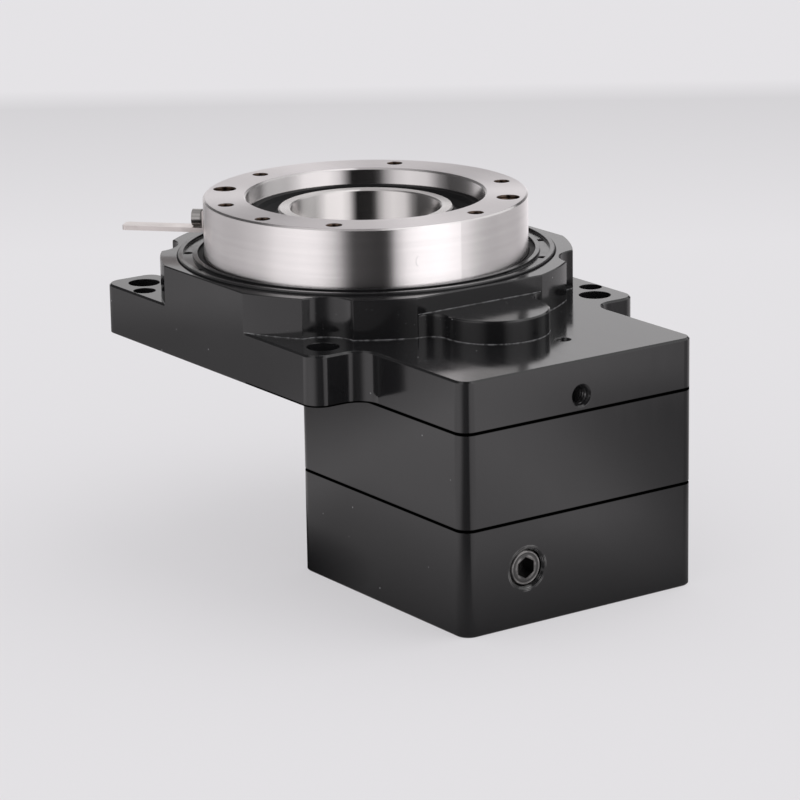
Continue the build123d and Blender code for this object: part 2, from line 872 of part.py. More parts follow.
with BuildPart() as gear_screws:
    for i in range(gear_screw_count):
        x, y = polar(gear_screw_circle_diameter / 2, 360 / gear_screw_count * i)
        with Locations(upward(x, y, gear_screw_seat)):
            add(cap_screw(m3_cap, gear_screw_length))
gear_screws.part.label = "gear_screws"

with BuildPart() as gear_dowels:
    for x, y in gear_pins:
        with Locations((x, y, gear_bottom + gear_pin_length / 2)):
            Cylinder(gear_pin_diameter / 2, gear_pin_length - 2 * fit_gap)
gear_dowels.part.label = "gear_dowels"

# ------------------------------------------------------------ fixed sleeve
with BuildPart() as center_sleeve:
    add(
        turned(
            [
                (hollow_diameter / 2, block_seat_depth),
                (sleeve_flange_diameter / 2, block_seat_depth),
                (sleeve_flange_diameter / 2, sleeve_flange_height),
                (sleeve_diameter / 2, sleeve_flange_height),
                (sleeve_diameter / 2, sleeve_top - edge_break),
                (sleeve_diameter / 2 - edge_break, sleeve_top),
                (hollow_diameter / 2 + edge_break, sleeve_top),
                (hollow_diameter / 2, sleeve_top - edge_break),
            ]
        )
    )
    for x, y in sleeve_screw_places:
        with Locations(upward(x, y, block_seat_depth)):
            add(flat_screw_hole(m2_flat, sleeve_screw_length), mode=Mode.SUBTRACT)
center_sleeve.part.label = "center_sleeve"

with BuildPart() as sleeve_screws:
    for x, y in sleeve_screw_places:
        with Locations(upward(x, y, block_seat_depth + fit_gap)):
            add(flat_screw(m2_flat, sleeve_screw_length))
sleeve_screws.part.label = "sleeve_screws"

# ------------------------------------------------------------ pinion shaft and its bearings
shaft_bore_top = clamp_bottom + motor_shaft_depth
seal_journal_top = housing_spigot_height + pinion_step
pinion_bottom = gear_bottom - pinion_overlap
pinion_top = bearing_bottom - running_gap
pinion_root = module * (pinion_teeth / 2 - 1.25 + profile_shift)

with BuildPart() as pinion_shaft:
    add(
        turned(
            [
                (0, shaft_bore_top),
                (motor_shaft_diameter / 2, shaft_bore_top),
                (motor_shaft_diameter / 2, clamp_bottom),
                (clamp_diameter / 2, clamp_bottom),
                (clamp_diameter / 2, clamp_top),
                (clamp_neck_diameter / 2, clamp_top),
                (clamp_neck_diameter / 2, lower_bearing_bottom),
                (lower_bearing_bore / 2 - seat_gap, lower_bearing_bottom),
                (lower_bearing_bore / 2 - seat_gap, lower_bearing_top),
                (pinion_seal_journal / 2, lower_bearing_top),
                (pinion_seal_journal / 2, seal_journal_top),
                (pinion_root - edge_break, seal_journal_top),
                (pinion_root - edge_break, pinion_bottom),
                (pinion_shoulder / 2, pinion_bottom),
                (pinion_shoulder / 2, upper_bearing_bottom),
                (upper_bearing_bore / 2 - seat_gap, upper_bearing_bottom),
                (upper_bearing_bore / 2 - seat_gap, upper_bearing_top - edge_break),
                (0, upper_bearing_top - edge_break),
            ],
            centre_distance,
        )
    )
    with BuildSketch(Plane.XY.offset(pinion_bottom)):
        with BuildLine():
            place = (centre_distance, 0.0)
            Polyline(*gear_outline(pinion_teeth, profile_shift, 180, 4, place), close=True)
        make_face()
    extrude(amount=pinion_top - pinion_bottom)
    # Clamp: a slit through the hub's wall, a cross cut above it and the screw's hole
    slit_top = clamp_screw_height + clamp_relief_height
    with Locations((centre_distance, -clamp_diameter / 4, (clamp_bottom + slit_top) / 2)):
        Box(clamp_slit, clamp_diameter / 2, slit_top - clamp_bottom, mode=Mode.SUBTRACT)
    with Locations((centre_distance, -clamp_diameter / 4 - clamp_slit, slit_top)):
        Box(clamp_diameter, clamp_diameter / 2, clamp_relief_slit, mode=Mode.SUBTRACT)
    with Locations(clamp_screw_place):
        add(screw_hole(m4_cap, clamp_screw_length), mode=Mode.SUBTRACT)
        Cylinder(
            m4_cap[1] / 2 + 3 * fit_gap,
            clamp_diameter / 2,
            align=(Align.CENTER, Align.CENTER, Align.MIN),
            mode=Mode.SUBTRACT,
        )
pinion_shaft.part.label = "pinion_shaft"

with BuildPart() as clamp_screw:
    with Locations(clamp_screw_place):
        add(cap_screw(m4_cap, clamp_screw_length))
clamp_screw.part.label = "clamp_screw"

upper_pitch = (upper_bearing_bore + upper_bearing_outside) / 4
upper_gap = race_gap_share * upper_ball_diameter
upper_levels = (upper_bearing_bottom, upper_bearing_top)
lower_pitch = (lower_bearing_bore + lower_bearing_outside) / 4
lower_gap = race_gap_share * lower_ball_diameter
lower_levels = (lower_bearing_bottom, lower_bearing_top)

with BuildPart() as upper_inner_race:
    bore = upper_bearing_bore / 2
    add(ball_race(bore, upper_pitch - upper_gap, *upper_levels, upper_pitch, upper_ball_diameter))
upper_inner_race.part.label = "upper_inner_race"

with BuildPart() as upper_outer_race:
    outside = upper_bearing_outside / 2
    add(ball_race(upper_pitch + upper_gap, outside, *upper_levels, upper_pitch, upper_ball_diameter))
upper_outer_race.part.label = "upper_outer_race"

with BuildPart() as upper_balls:
    with Locations((centre_distance, 0, sum(upper_levels) / 2)):
        with PolarLocations(upper_pitch, upper_ball_count):
            Sphere(upper_ball_diameter / 2)
upper_balls.part.label = "upper_balls"

with BuildPart() as lower_inner_race:
    bore = lower_bearing_bore / 2
    add(ball_race(bore, lower_pitch - lower_gap, *lower_levels, lower_pitch, lower_ball_diameter))
lower_inner_race.part.label = "lower_inner_race"

with BuildPart() as lower_outer_race:
    outside = lower_bearing_outside / 2
    add(ball_race(lower_pitch + lower_gap, outside, *lower_levels, lower_pitch, lower_ball_diameter))
lower_outer_race.part.label = "lower_outer_race"

with BuildPart() as lower_balls:
    with Locations((centre_distance, 0, sum(lower_levels) / 2)):
        with PolarLocations(lower_pitch, lower_ball_count):
            Sphere(lower_ball_diameter / 2)
lower_balls.part.label = "lower_balls"

circlip_outer = lower_bearing_outside / 2 + circlip_groove - fit_gap
circlip_inner = lower_bearing_outside / 2 + circlip_groove - circlip_width
with BuildPart() as bearing_circlip:
    add(ring(circlip_inner, circlip_outer, circlip_bottom, lower_bearing_bottom, centre_distance))
    with Locations((centre_distance, circlip_outer, (circlip_bottom + lower_bearing_bottom) / 2)):
        Box(circlip_opening, circlip_outer, circlip_thickness, mode=Mode.SUBTRACT)
bearing_circlip.part.label = "bearing_circlip"

pinion_seal_bottom = lower_bearing_top + running_gap
with BuildPart() as pinion_seal:
    journal = pinion_seal_journal / 2
    outside = pinion_seal_diameter / 2
    pinion_seal_top = pinion_seal_bottom + pinion_seal_height
    add(
        turned(
            [
                (journal + seal_lip_gap, pinion_seal_bottom + seal_step),
                (journal + 2 * seal_step, pinion_seal_bottom),
                (outside, pinion_seal_bottom),
                (outside, pinion_seal_top),
                (journal + 2 * seal_step, pinion_seal_top),
                (journal + seal_lip_gap, pinion_seal_top - seal_step),
            ],
            centre_distance,
        )
    )
pinion_seal.part.label = "pinion_seal"

# ------------------------------------------------------------ motor block
def block(bottom, top):
    """Square block with rounded corners and small chamfers on its rims, which make the seams."""
    with BuildPart() as body:
        with BuildSketch(Plane.XY.offset(bottom)):
            with Locations((centre_distance, 0)):
                RectangleRounded(block_width, block_width, block_corner_radius)
        extrude(amount=top - bottom)
        rims = body.edges().group_by(Axis.Z)
        chamfer(rims[0] + rims[-1], seam_chamfer)
    return body.part


with BuildPart() as upper_motor_block:
    add(block(block_seam, block_seat_depth))
    spigot = housing_spigot_diameter / 2
    add(ring(0.0, spigot, 0, housing_spigot_height, centre_distance))
    add(
        turned(
            [
                (0, housing_spigot_height),
                (0, block_seam),
                (block_cavity_diameter / 2, block_seam),
                (block_cavity_diameter / 2, cavity_top),
                (lower_bearing_outside / 2 + seat_gap, cavity_top),
                (lower_bearing_outside / 2 + seat_gap, circlip_bottom - seat_gap),
                (lower_bearing_outside / 2 + circlip_groove, circlip_bottom - seat_gap),
                (lower_bearing_outside / 2 + circlip_groove, lower_bearing_bottom),
                (lower_bearing_outside / 2 + seat_gap, lower_bearing_bottom),
                (lower_bearing_outside / 2 + seat_gap, lower_bearing_top),
                (pinion_seal_diameter / 2 + seat_gap, lower_bearing_top),
                (pinion_seal_diameter / 2 + seat_gap, housing_spigot_height),
            ],
            centre_distance,
        ),
        mode=Mode.SUBTRACT,
    )
    for x, y in corner_screws:
        with Locations(upward(x, y, -corner_screw_seat)):
            add(screw_hole(m4_cap, corner_screw_length), mode=Mode.SUBTRACT)
            Cylinder(
                m4_cap[1] / 2 + 3 * fit_gap,
                upper_block_height - corner_screw_seat,
                align=(Align.CENTER, Align.CENTER, Align.MIN),
                mode=Mode.SUBTRACT,
            )
    with Locations(*[(x, y, floor_thickness) for x, y in floor_screws]):
        add(flat_screw_hole(m4_flat, floor_screw_length), mode=Mode.SUBTRACT)
    for x, y in flange_screws:
        with Locations(upward(x, y, flange_screw_seat)):
            add(screw_hole(m3_cap, flange_screw_length), mode=Mode.SUBTRACT)
upper_motor_block.part.label = "upper_motor_block"

with BuildPart() as lower_motor_block:
    add(block(block_bottom, block_seam))
    pilot_top = block_bottom + motor_pilot_depth
    add(
        turned(
            [
                (0, block_bottom),
                (motor_pilot_diameter / 2, block_bottom),
                (motor_pilot_diameter / 2, pilot_top),
                (block_cavity_diameter / 2, pilot_top),
                (block_cavity_diameter / 2, block_seam),
                (0, block_seam),
            ],
            centre_distance,
        ),
        mode=Mode.SUBTRACT,
    )
    for x, y in flange_screws:
        with Locations(upward(x, y, flange_screw_seat)):
            add(screw_hole(m3_cap, flange_screw_length), mode=Mode.SUBTRACT)
    bolt_mouth = motor_bolt_drill + 2 * countersink_width
    for x, y in motor_bolts:
        with Locations(upward(x, y, block_bottom)):
            add(tapped_hole(motor_bolt_drill, motor_bolt_depth, bolt_mouth), mode=Mode.SUBTRACT)
    # Threaded access hole to the clamp screw
    with Locations(endward(extension_end, -clamp_screw_offset, clamp_screw_height)):
        Cylinder(
            plug_diameter / 2,
            block_width / 2,
            align=(Align.CENTER, Align.CENTER, Align.MAX),
            mode=Mode.SUBTRACT,
        )
        mouth = plug_diameter + 2 * plug_mouth_chamfer
        add(tapped_hole(plug_diameter, plug_length, mouth), mode=Mode.SUBTRACT)
lower_motor_block.part.label = "lower_motor_block"

plug_plane = Plane(
    origin=(extension_end - plug_sink, -clamp_screw_offset, clamp_screw_height),
    z_dir=(1, 0, 0),
)
with BuildPart(plug_plane) as access_plug:
    Cylinder(
        plug_diameter / 2 - seat_gap,
        plug_length,
        align=(Align.CENTER, Align.CENTER, Align.MAX),
    )
    rims = access_plug.edges().filter_by(GeomType.CIRCLE)
    chamfer(rims, plug_mouth_chamfer)
    with BuildSketch(plug_plane):
        RegularPolygon(plug_socket / 2, 6, major_radius=False)
    extrude(amount=-plug_socket_depth, mode=Mode.SUBTRACT)
access_plug.part.label = "access_plug"

with BuildPart() as corner_bolts:
    for x, y in corner_screws:
        with Locations(upward(x, y, -corner_screw_seat)):
            add(cap_screw(m4_cap, corner_screw_length))
corner_bolts.part.label = "corner_screws"

with BuildPart() as floor_bolts:
    for x, y in floor_screws:
        with Locations((x, y, floor_thickness - fit_gap)):
            add(flat_screw(m4_flat, floor_screw_length))
floor_bolts.part.label = "floor_screws"

with BuildPart() as flange_bolts:
    for x, y in flange_screws:
        with Locations(upward(x, y, flange_screw_seat)):
            add(cap_screw(m3_cap, flange_screw_length))
flange_bolts.part.label = "flange_screws"

# ------------------------------------------------------------ home-sensor dog
dog_inner = table_radius + seat_gap
dog_outer = table_radius + dog_reach
radial = Vector(*polar(1, dog_angle), 0)
dog_plane = Plane(origin=(0, 0, 0), x_dir=radial, z_dir=radial.cross(Vector(0, 0, 1)))

with BuildPart() as sensor_dog:
    with BuildSketch(dog_plane):
        with BuildLine():
            Polyline(
                (dog_inner, dog_bottom),
                (dog_outer, dog_bottom),
                (dog_outer, dog_bottom + dog_thickness),
                (dog_inner + dog_thickness, dog_bottom + dog_thickness),
                (dog_inner + dog_thickness, dog_bottom + dog_leg_height),
                (dog_inner, dog_bottom + dog_leg_height),
                close=True,
            )
        make_face()
    extrude(amount=dog_width / 2, both=True)
    tip_edges = [
        edge
        for edge in sensor_dog.edges().filter_by(Axis.Z)
        if edge.center().dot(radial) > dog_outer - fit_gap
    ]
    fillet(tip_edges, dog_tip_radius)
    with Locations(dog_place(dog_inner + dog_thickness)):
        Cylinder(m2_cap[0] / 2 + fit_gap, 2 * dog_thickness + fit_gap, mode=Mode.SUBTRACT)
sensor_dog.part.label = "sensor_dog"

with BuildPart() as dog_washer:
    with Locations(dog_place(dog_inner + dog_thickness)):
        Cylinder(
            dog_washer_diameter / 2,
            dog_washer_thickness,
            align=(Align.CENTER, Align.CENTER, Align.MIN),
        )
        Cylinder(
            m2_cap[0] / 2 + fit_gap,
            dog_washer_thickness,
            align=(Align.CENTER, Align.CENTER, Align.MIN),
            mode=Mode.SUBTRACT,
        )
dog_washer.part.label = "dog_washer"

with BuildPart() as dog_screw:
    with Locations(dog_place(dog_inner + dog_thickness + dog_washer_thickness)):
        add(cap_screw(m2_cap, dog_screw_length))
dog_screw.part.label = "dog_screw"

# ------------------------------------------------------------ export
pieces = [
    housing,
    lock_ring,
    wiper_seal,
    bearing_outer_lower,
    bearing_outer_upper,
    center_sleeve,
    sleeve_screws,
    upper_motor_block,
    lower_motor_block,
    corner_bolts,
    floor_bolts,
    flange_bolts,
    upper_outer_race,
    lower_outer_race,
    bearing_circlip,
    pinion_seal,
    access_plug,
    turntable,
    inner_seal,
    bearing_inner_ring,
    ring_gear,
    gear_screws,
    gear_dowels,
    sensor_dog,
    dog_washer,
    dog_screw,
    pinion_shaft,
    clamp_screw,
    upper_inner_race,
    lower_inner_race,
    bearing_rollers,
    upper_balls,
    lower_balls,
]

os.makedirs("parts", exist_ok=True)
for piece in pieces:
    export_step(piece.part, f"parts/{piece.part.label}.step")
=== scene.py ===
from collections import namedtuple
import json
import math

import bpy
import bmesh
from mathutils import Matrix, Vector


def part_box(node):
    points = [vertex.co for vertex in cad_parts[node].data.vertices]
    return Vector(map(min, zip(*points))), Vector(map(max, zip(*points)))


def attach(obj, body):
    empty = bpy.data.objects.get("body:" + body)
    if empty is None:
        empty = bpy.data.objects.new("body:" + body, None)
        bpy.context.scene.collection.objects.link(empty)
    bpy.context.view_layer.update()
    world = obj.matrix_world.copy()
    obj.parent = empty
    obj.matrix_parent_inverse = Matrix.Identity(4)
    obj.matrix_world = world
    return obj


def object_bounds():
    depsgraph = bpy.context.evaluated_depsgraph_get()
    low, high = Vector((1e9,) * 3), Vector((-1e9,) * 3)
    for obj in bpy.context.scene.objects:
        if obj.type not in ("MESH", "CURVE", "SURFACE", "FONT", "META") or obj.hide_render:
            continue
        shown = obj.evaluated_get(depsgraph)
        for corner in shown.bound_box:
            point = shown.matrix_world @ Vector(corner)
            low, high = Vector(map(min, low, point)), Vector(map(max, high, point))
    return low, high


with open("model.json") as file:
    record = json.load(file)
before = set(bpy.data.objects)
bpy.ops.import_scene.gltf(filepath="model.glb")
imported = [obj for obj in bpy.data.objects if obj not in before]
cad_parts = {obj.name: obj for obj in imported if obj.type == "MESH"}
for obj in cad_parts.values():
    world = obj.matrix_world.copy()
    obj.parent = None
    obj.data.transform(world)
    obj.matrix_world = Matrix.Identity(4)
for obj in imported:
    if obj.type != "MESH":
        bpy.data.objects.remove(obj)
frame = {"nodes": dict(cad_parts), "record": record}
cad_low, cad_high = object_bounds()
nodes = frame["nodes"]
MM = 0.001
MOUNTS = {mount["name"]: mount for mount in frame["record"]["mounts"]}

# ---------------------------------------------------------------- places on the CAD pieces
FLOOR_Z = cad_low.z
END_X = cad_high.x
PINION_X = MOUNTS["motor_shaft"]["pos_m"][0]
TABLE_AXIS = (0.0, 0.0)
PINION_AXIS = (PINION_X, 0.0)

# The housing: its plate, the disc and boss that stand on it, and the planes just inside its flat sides
PLATE_TOP = MOUNTS["top_port"]["pos_m"][2]
BOSS_TOP = PLATE_TOP + 5.0 * MM
BOSS_REACH = 16.0 * MM
DISC_RADIUS = -cad_low.y + 2.8 * MM
FLUSH_X = cad_low.x + 0.05 * MM
FLUSH_Y = cad_high.y - 0.05 * MM

# The joints between the housing and the two motor blocks
UPPER_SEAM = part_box("housing")[0].z
LOWER_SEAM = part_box("lower_motor_block")[1].z
SEAM_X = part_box("upper_motor_block")[0].x - 1.0 * MM
SEAM_INNER = 0.3 * MM
SEAM_OUTER = 0.42 * MM

# The turntable, the sleeve and the plug
TABLE_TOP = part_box("turntable")[1].z
TABLE_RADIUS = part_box("turntable")[1].y
TABLE_HOLES = (26.8 * MM, 35.2 * MM)
SLEEVE_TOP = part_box("center_sleeve")[1].z
FACE_DEPTH = 0.05 * MM
PLUG_CENTRE = sum(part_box("access_plug"), Vector()) / 2
PLUG_MOUTH_RADIUS = 4.5 * MM
PLUG_RIM_RADIUS = 3.45 * MM
PLUG_SOCKET_RADIUS = 2.4 * MM
TABLE_THREAD_PITCH = 0.7 * MM
TOOL_RING_PITCH = 0.28 * MM

# ---------------------------------------------------------------- camera
CAMERA_AZIMUTH = math.radians(-34.808)
CAMERA_ELEVATION = math.radians(15.556)
CAMERA_ROLL = math.radians(-0.909)
CAMERA_DISTANCE = 0.8171
CAMERA_LENS = 167.84
LOOK_OFFSET = Vector((-4.42, -0.69, -6.19)) * MM


def direction(azimuth, height):
    """Unit vector at these two angles."""
    flat = math.cos(height)
    return Vector((flat * math.cos(azimuth), flat * math.sin(azimuth), math.sin(height)))


def make_camera():
    target = (cad_low + cad_high) / 2 + LOOK_OFFSET
    away = direction(CAMERA_AZIMUTH, CAMERA_ELEVATION)
    data = bpy.data.cameras.new("photo_camera")
    data.sensor_width = 36.0
    data.lens = CAMERA_LENS
    data.clip_start = 0.01
    data.clip_end = 20.0
    camera = bpy.data.objects.new("photo_camera", data)
    bpy.context.scene.collection.objects.link(camera)
    place = Matrix.Translation(target + away * CAMERA_DISTANCE)
    turn = away.to_track_quat("Z", "Y").to_matrix().to_4x4()
    camera.matrix_world = place @ turn @ Matrix.Rotation(CAMERA_ROLL, 4, "Z")
    bpy.context.scene.camera = camera


# ---------------------------------------------------------------- node helpers
class Graph:
    """A node tree, with short calls for the nodes used here. Most return the new node's output."""

    def __init__(self, tree):
        self.tree = tree

    def node(self, kind):
        return self.tree.nodes.new(kind)

    def link(self, source, target):
        self.tree.links.new(source, target)

    def feed(self, socket, value):
        """Link a socket's output, or set a number or colour."""
        if isinstance(value, bpy.types.NodeSocket):
            self.link(value, socket)
        else:
            socket.default_value = value

    def math(self, operation, *values):
        item = self.node("ShaderNodeMath")
        item.operation = operation
        for socket, value in zip(item.inputs, values):
            self.feed(socket, value)
        return item.outputs[0]

    def sum(self, *terms):
        total = terms[0]
        for term in terms[1:]:
            total = self.math("ADD", total, term)
        return total

    def product(self, *factors):
        total = factors[0]
        for factor in factors[1:]:
            total = self.math("MULTIPLY", total, factor)
        return total

    def minus(self, a, b):
        return self.math("SUBTRACT", a, b)

    def apart(self, a, b):
        """Distance between two numbers."""
        return self.math("ABSOLUTE", self.minus(a, b))

    def above(self, a, b):
        """1 where a is more than b."""
        return self.math("GREATER_THAN", a, b)

    def below(self, a, b):
        """1 where a is less than b."""
        return self.math("LESS_THAN", a, b)

    def length(self, x, y):
        return self.math("SQRT", self.sum(self.product(x, x), self.product(y, y)))

    def ramp(self, value, low, high, from_value=0.0, to_value=1.0, smooth=False):
        item = self.node("ShaderNodeMapRange")
        if smooth:
            item.interpolation_type = "SMOOTHSTEP"
        item.inputs["From Min"].default_value = low
        item.inputs["From Max"].default_value = high
        item.inputs["To Min"].default_value = from_value
        item.inputs["To Max"].default_value = to_value
        self.link(value, item.inputs["Value"])
        return item.outputs[0]

    def mix(self, share, a, b, blend="MIX"):
        item = self.node("ShaderNodeMix")
        item.data_type = "RGBA"
        item.blend_type = blend
        for socket, value in ((item.inputs[0], share), (item.inputs[6], a), (item.inputs[7], b)):
            self.feed(socket, value)
        return item.outputs[2]

    def mix_numbers(self, share, a, b):
        item = self.node("ShaderNodeMix")
        for socket, value in ((item.inputs[0], share), (item.inputs[2], a), (item.inputs[3], b)):
            self.feed(socket, value)
        return item.outputs[0]

    def mix_shaders(self, share, a, b):
        item = self.node("ShaderNodeMixShader")
        for socket, value in zip(item.inputs, (share, a, b)):
            self.link(value, socket)
        return item.outputs[0]

    def object_coordinates(self):
        return self.node("ShaderNodeTexCoord").outputs["Object"]

    def split(self, vector):
        item = self.node("ShaderNodeSeparateXYZ")
        self.link(vector, item.inputs[0])
        return item.outputs

    def join(self, *values):
        item = self.node("ShaderNodeCombineXYZ")
        for socket, value in zip(item.inputs, values):
            self.link(value, socket)
        return item.outputs[0]

    def scaled(self, vector, scale):
        item = self.node("ShaderNodeMapping")
        item.inputs["Scale"].default_value = scale
        self.link(vector, item.inputs["Vector"])
        return item.outputs[0]

    def noise(self, vector, scale, detail=3.0, roughness=0.5, distortion=0.0):
        item = self.node("ShaderNodeTexNoise")
        item.inputs["Scale"].default_value = scale
        item.inputs["Detail"].default_value = detail
        item.inputs["Roughness"].default_value = roughness
        item.inputs["Distortion"].default_value = distortion
        self.link(vector, item.inputs["Vector"])
        return item.outputs[0]

    def lathe(self, vector, axis, around):
        """(radius, height, a little of the angle) about a vertical axis, so noise runs in turned rings."""
        place = self.split(vector)
        x = self.minus(place[0], axis[0])
        y = self.minus(place[1], axis[1])
        angle = self.math("ARCTAN2", y, x)
        return self.join(self.length(x, y), place[2], self.product(angle, around))


class Surface(Graph):
    """A material's node tree, with its Principled shader."""

    def __init__(self, name):
        self.material = bpy.data.materials.new(name)
        self.material.use_nodes = True
        super().__init__(self.material.node_tree)
        self.shader = self.tree.nodes["Principled BSDF"]
        self.output = self.tree.nodes["Material Output"]

    def set(self, socket_name, value):
        self.feed(self.shader.inputs[socket_name], value)

    def bump(self, height, strength, distance, edge=0.0):
        """Bump from a height. edge is the radius in metres to which sharp edges look broken."""
        item = self.node("ShaderNodeBump")
        if edge:
            soft = self.node("ShaderNodeBevel")
            soft.samples = 6
            soft.inputs["Radius"].default_value = edge
            self.link(soft.outputs[0], item.inputs["Normal"])
        item.inputs["Strength"].default_value = strength
        item.inputs["Distance"].default_value = distance
        self.link(height, item.inputs["Height"])
        self.set("Normal", item.outputs[0])
        return item.outputs[0]


def grey(value):
    return (value, value, value, 1)


def shade(colour, factor):
    """A colour made lighter or darker, with its alpha."""
    return tuple(min(1.0, part * factor) for part in colour) + (1,)


# ---------------------------------------------------------------- black anodised aluminium
BLACK_IOR = 1.6
BLACK_EDGE = 0.22 * MM
# Colour of dust, and of the painted highlight along the foot of the disc and boss
DUST_AND_HIGHLIGHT_TONE = (0.5, 0.5, 0.51, 1)
TOOL_TONE = (0.3, 0.295, 0.29, 1)
FOOT_RISE = 0.01 * MM


def specks(g, vector, scale, share):
    """Fine dust: 1 on few small round spots, 0 elsewhere."""
    cells = g.node("ShaderNodeTexVoronoi")
    cells.inputs["Scale"].default_value = scale
    g.link(vector, cells.inputs["Vector"])
    dot = g.ramp(cells.outputs["Distance"], 0.12, 0.07)
    pick = g.node("ShaderNodeSeparateColor")
    g.link(cells.outputs["Color"], pick.inputs[0])
    return g.product(dot, g.above(pick.outputs[0], 1 - share))


def foot_line(g, height, level, full, none):
    """1 on a wall just above a level, fading out between two heights over it."""
    return g.product(g.ramp(height, level + none, level + full), g.above(height, level + FOOT_RISE))


def dust_and_highlight_line(g, where, place):
    """Dust and a painted highlight of a tool radius at the foot of the disc and boss, and along the boss's
    flat wall.
    """
    x, y, z = place
    inside_sides = g.product(g.below(g.math("ABSOLUTE", y), FLUSH_Y), g.above(x, FLUSH_X))
    foot = foot_line(g, z, PLATE_TOP, 0.12 * MM, 0.26 * MM)
    ledge = foot_line(g, z, BOSS_TOP, 0.1 * MM, 0.24 * MM)
    flat_wall = g.product(g.above(x, -FLUSH_X - 0.1 * MM), g.below(g.math("ABSOLUTE", y), BOSS_REACH))
    # Partly dust, partly a painted highlight where a small tool radius would catch light
    line = g.sum(g.product(foot, inside_sides), g.product(ledge, flat_wall))
    broken = g.ramp(g.noise(where, 900.0, 3.0), 0.38, 0.6, 0.15, 0.8)
    return g.product(line, broken)


def corner_specks(g, where, place):
    """Denser dust on the plate and boss beside the disc's wall, on the motor block's side."""
    x, y, z = place
    to_wall = g.apart(g.length(x, y), DISC_RADIUS)
    near = g.ramp(to_wall, 8.0 * MM, 1.0 * MM)
    near = g.product(near, g.above(x, 20.0 * MM), g.below(z, BOSS_TOP + 2.0 * MM))
    return g.product(specks(g, g.scaled(where, (1.0, 1.0, 1.7)), 1500.0, 0.12), near)


def seam_lines(g, place, heights):
    """1 in thin level lines at these heights, on the motor block's side."""
    lines = [g.ramp(g.apart(place[2], height), SEAM_OUTER, SEAM_INNER) for height in heights]
    gap = lines[0]
    for line in lines[1:]:
        gap = g.math("MAXIMUM", gap, line)
    return g.product(gap, g.above(place[0], SEAM_X))


def tool_rings(g, where, place, centre, reach):
    """Worn rings round a hole's mouth in the end face."""
    radius = g.length(g.minus(place[1], centre.y), g.minus(place[2], centre.z))
    on_face = g.ramp(radius, reach + 0.6 * MM, reach + 0.4 * MM)
    on_face = g.product(on_face, g.above(place[0], END_X - 2.0 * MM))
    turns = g.ramp(g.math("SINE", g.product(radius, 2 * math.pi / TOOL_RING_PITCH)), 0.1, 0.7)
    return g.product(on_face, turns, g.ramp(g.noise(where, 260.0, 2.0), 0.46, 0.66))


def anodised(name, base, rough, dust, edge=BLACK_EDGE, ior=BLACK_IOR, seams=(), corners=False,
             plug_mouth=False):
    """Glossy black anodised aluminium with faint milling marks, smears and dust. seams are heights of dark
    joints. corners adds dust round the disc's foot, with a painted highlight along it, and plug_mouth tool
    rings round the plug."""
    g = Surface(name)
    where = g.object_coordinates()
    place = g.split(where)
    cloud = g.noise(where, 38.0, 4.0)
    smear = g.noise(g.scaled(where, (60.0, 300.0, 60.0)), 1.0, 5.0, 0.6, 0.6)
    dark = (base * 0.8, base * 0.8, base * 0.82, 1)
    light = (base * 1.25, base * 1.22, base * 1.3, 1)
    tone = g.mix(cloud, dark, light)
    dust_and_highlight = specks(g, where, 620.0, dust)
    if corners:
        dust_and_highlight = g.math("MAXIMUM", corner_specks(g, where, place), dust_and_highlight)
        dust_and_highlight = g.math("MAXIMUM", dust_and_highlight, dust_and_highlight_line(g, where, place))
    # Dust specks, and with corners also a painted highlight along the foot of the disc and boss
    tone = g.mix(g.product(dust_and_highlight, 0.6), tone, DUST_AND_HIGHLIGHT_TONE)
    roughness = g.sum(g.ramp(smear, 0.3, 0.75, rough * 0.8, rough * 1.4), g.product(dust_and_highlight, 0.4))
    if seams:
        gap = seam_lines(g, place, seams)
        tone = g.mix(gap, tone, grey(0.001))
        g.set("Specular IOR Level", g.product(g.minus(1.0, gap), 0.5))
    if plug_mouth:
        worn = tool_rings(g, where, place, PLUG_CENTRE, PLUG_MOUTH_RADIUS)
        tone = g.mix(worn, tone, TOOL_TONE)
        roughness = g.sum(roughness, g.product(worn, 0.15))
    g.set("Base Color", tone)
    g.set("Roughness", roughness)
    g.set("IOR", ior)
    g.bump(g.noise(where, 2600.0, 2.0), 0.05, 0.02 * MM, edge)
    return g.material


# ---------------------------------------------------------------- steel and rubber
# The upward lean of a turned piece's walls inside and outside a radius, so that they mirror the studio's
# walls, the height of the piece's top, and how much less rough its inside walls are
Walls = namedtuple("Walls", "inside outside radius top polish")
# A faint curved scratch on the turntable's outer wall: its angle round the axis, height and radius of curve
Scratch = namedtuple("Scratch", "angle height size")

# Factor on the colour of a turned piece's inside walls: painted shade in the recess
INNER_WALL_PAINTED_SHADE = 0.72
# Thread colours in the table's holes: painted shade in the roots, painted highlight on the crests
THREAD_ROOT_SHADE = (0.035, 0.022, 0.016, 1)
THREAD_CREST_HIGHLIGHT = (0.16, 0.115, 0.09, 1)
SCRATCH_TONE = (0.2, 0.19, 0.19, 1)


def hole_threads(g, place, top):
    """Share and tone of the threads in the turntable's holes: painted shade with painted highlights on
    crests.
    """
    inner, outer = TABLE_HOLES
    radius = g.length(place[0], place[1])
    share = g.product(g.above(radius, inner), g.below(radius, outer), g.below(place[2], top - 0.02 * MM))
    turns = g.math("SINE", g.product(place[2], 2 * math.pi / TABLE_THREAD_PITCH))
    return share, g.mix(g.ramp(turns, -0.4, 0.7), THREAD_ROOT_SHADE, THREAD_CREST_HIGHLIGHT)


